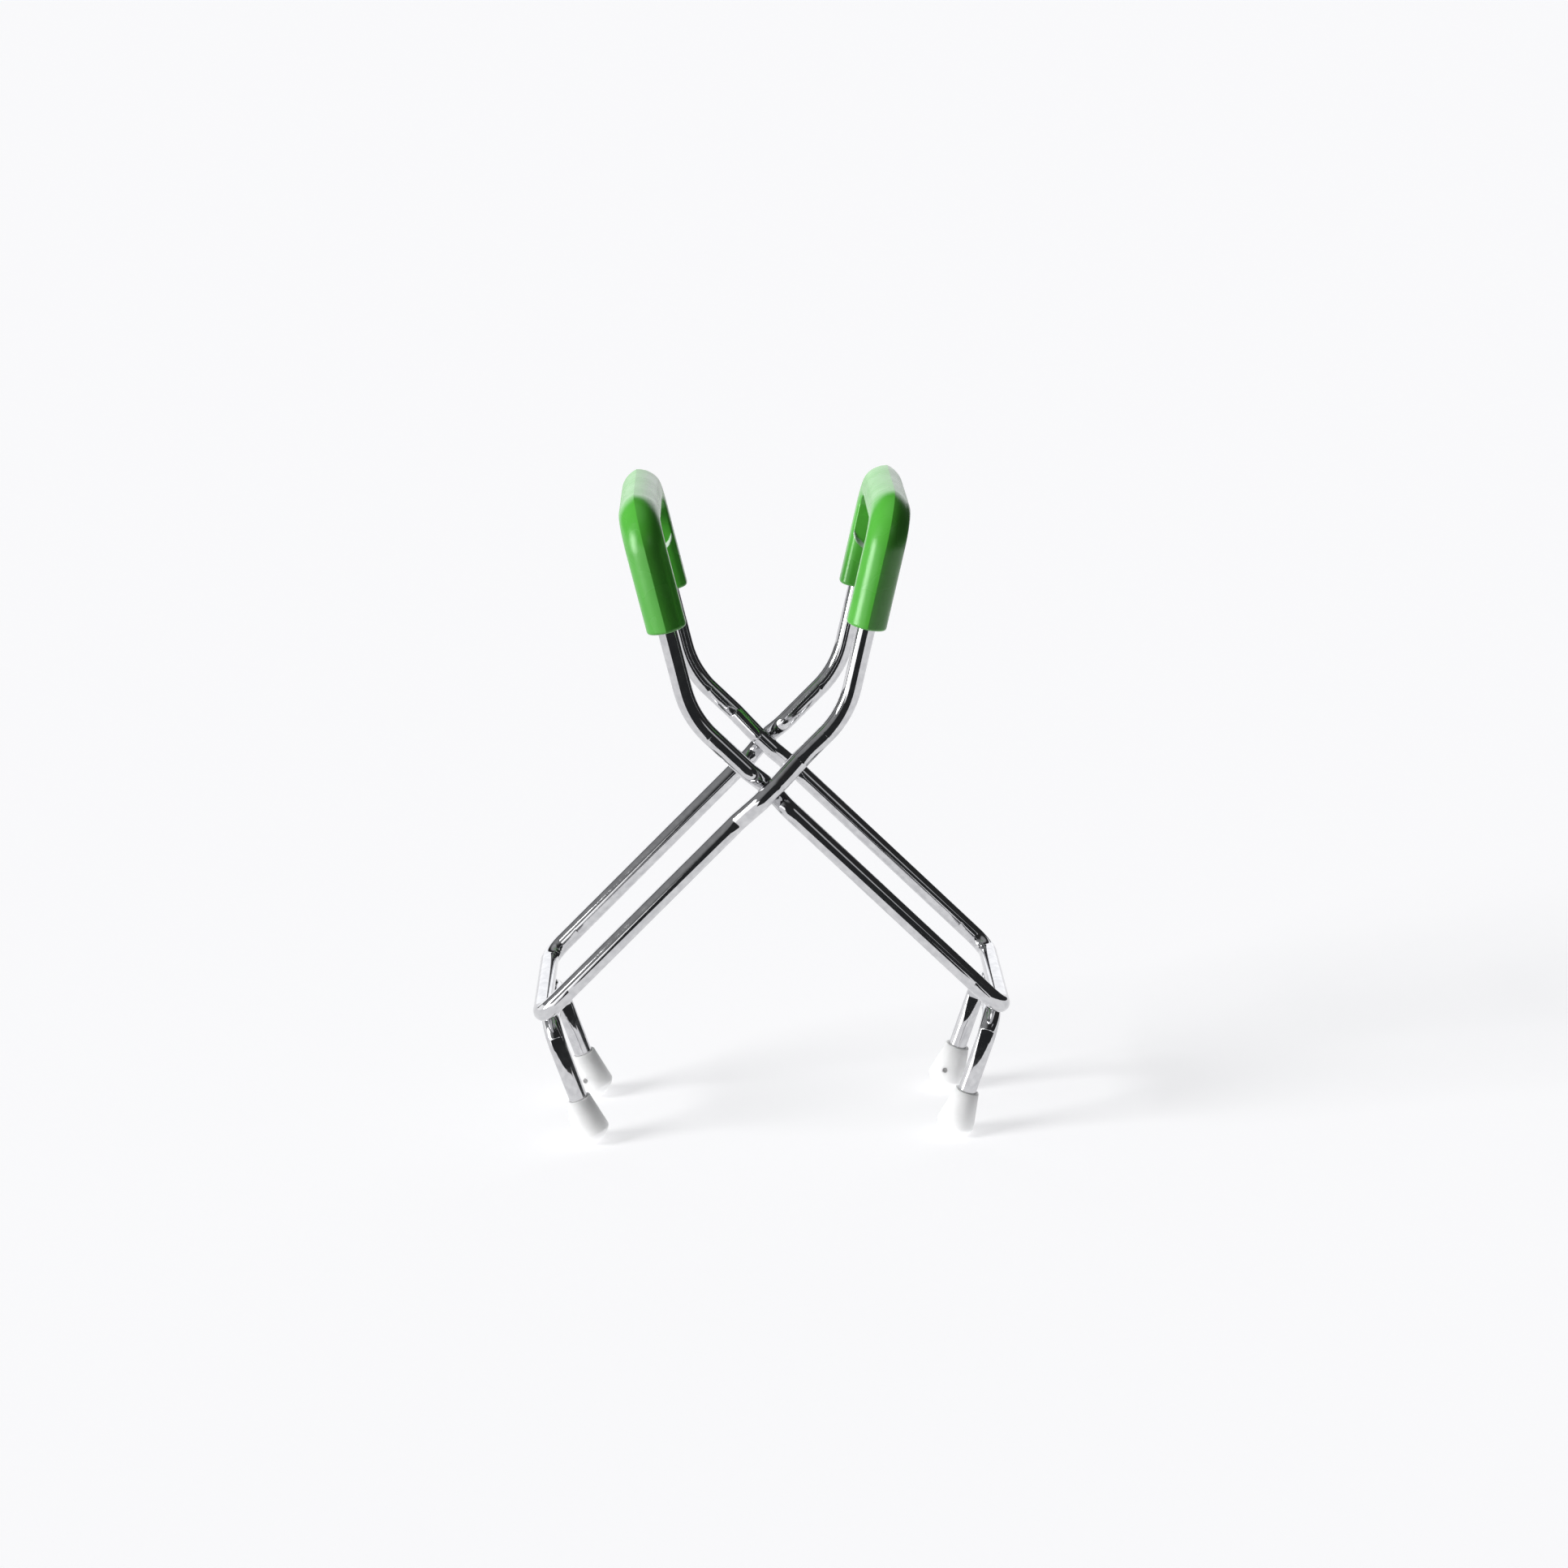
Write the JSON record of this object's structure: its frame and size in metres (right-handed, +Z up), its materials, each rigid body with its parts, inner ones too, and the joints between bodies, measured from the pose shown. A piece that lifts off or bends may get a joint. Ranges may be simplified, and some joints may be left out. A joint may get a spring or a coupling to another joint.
{
  "type": "jar lifter",
  "caption": "Scissor tongs of bent wire for lifting hot preserving jars, with a moulded grip over each handle and rubber-tipped legs on each jaw.",
  "frame": {"origin": "on the standing surface, midway between the four tips", "axes": "+Z up, +Y along the pivot axis from the front crossing to the rear one, +X towards the outer frame's handle"},
  "size_m": [0.1396, 0.0686, 0.1939],
  "materials": {
    "chrome_wire": "bright chrome plate on drawn steel wire",
    "grip_plastic": "glossy injection-moulded plastic with a parting ridge",
    "tip_rubber": "smooth satin rubber"
  },
  "bodies": {
    "outer_frame": {"outer_loop": "chrome_wire", "outer_leg_bracket": "chrome_wire", "outer_grip": "grip_plastic", "outer_front_tip": "tip_rubber", "outer_rear_tip": "tip_rubber"},
    "inner_frame": {"inner_loop": "chrome_wire", "inner_leg_bracket": "chrome_wire", "inner_grip": "grip_plastic", "inner_front_tip": "tip_rubber", "inner_rear_tip": "tip_rubber"}
  },
  "joints": [
    {"name": "scissor_pivot", "type": "hinge", "parent": "outer_frame", "child": "inner_frame", "pos_m": [0, 0, 0.1092], "axis": [0, 1, 0], "range_deg": [-30, 40]}
  ]
}
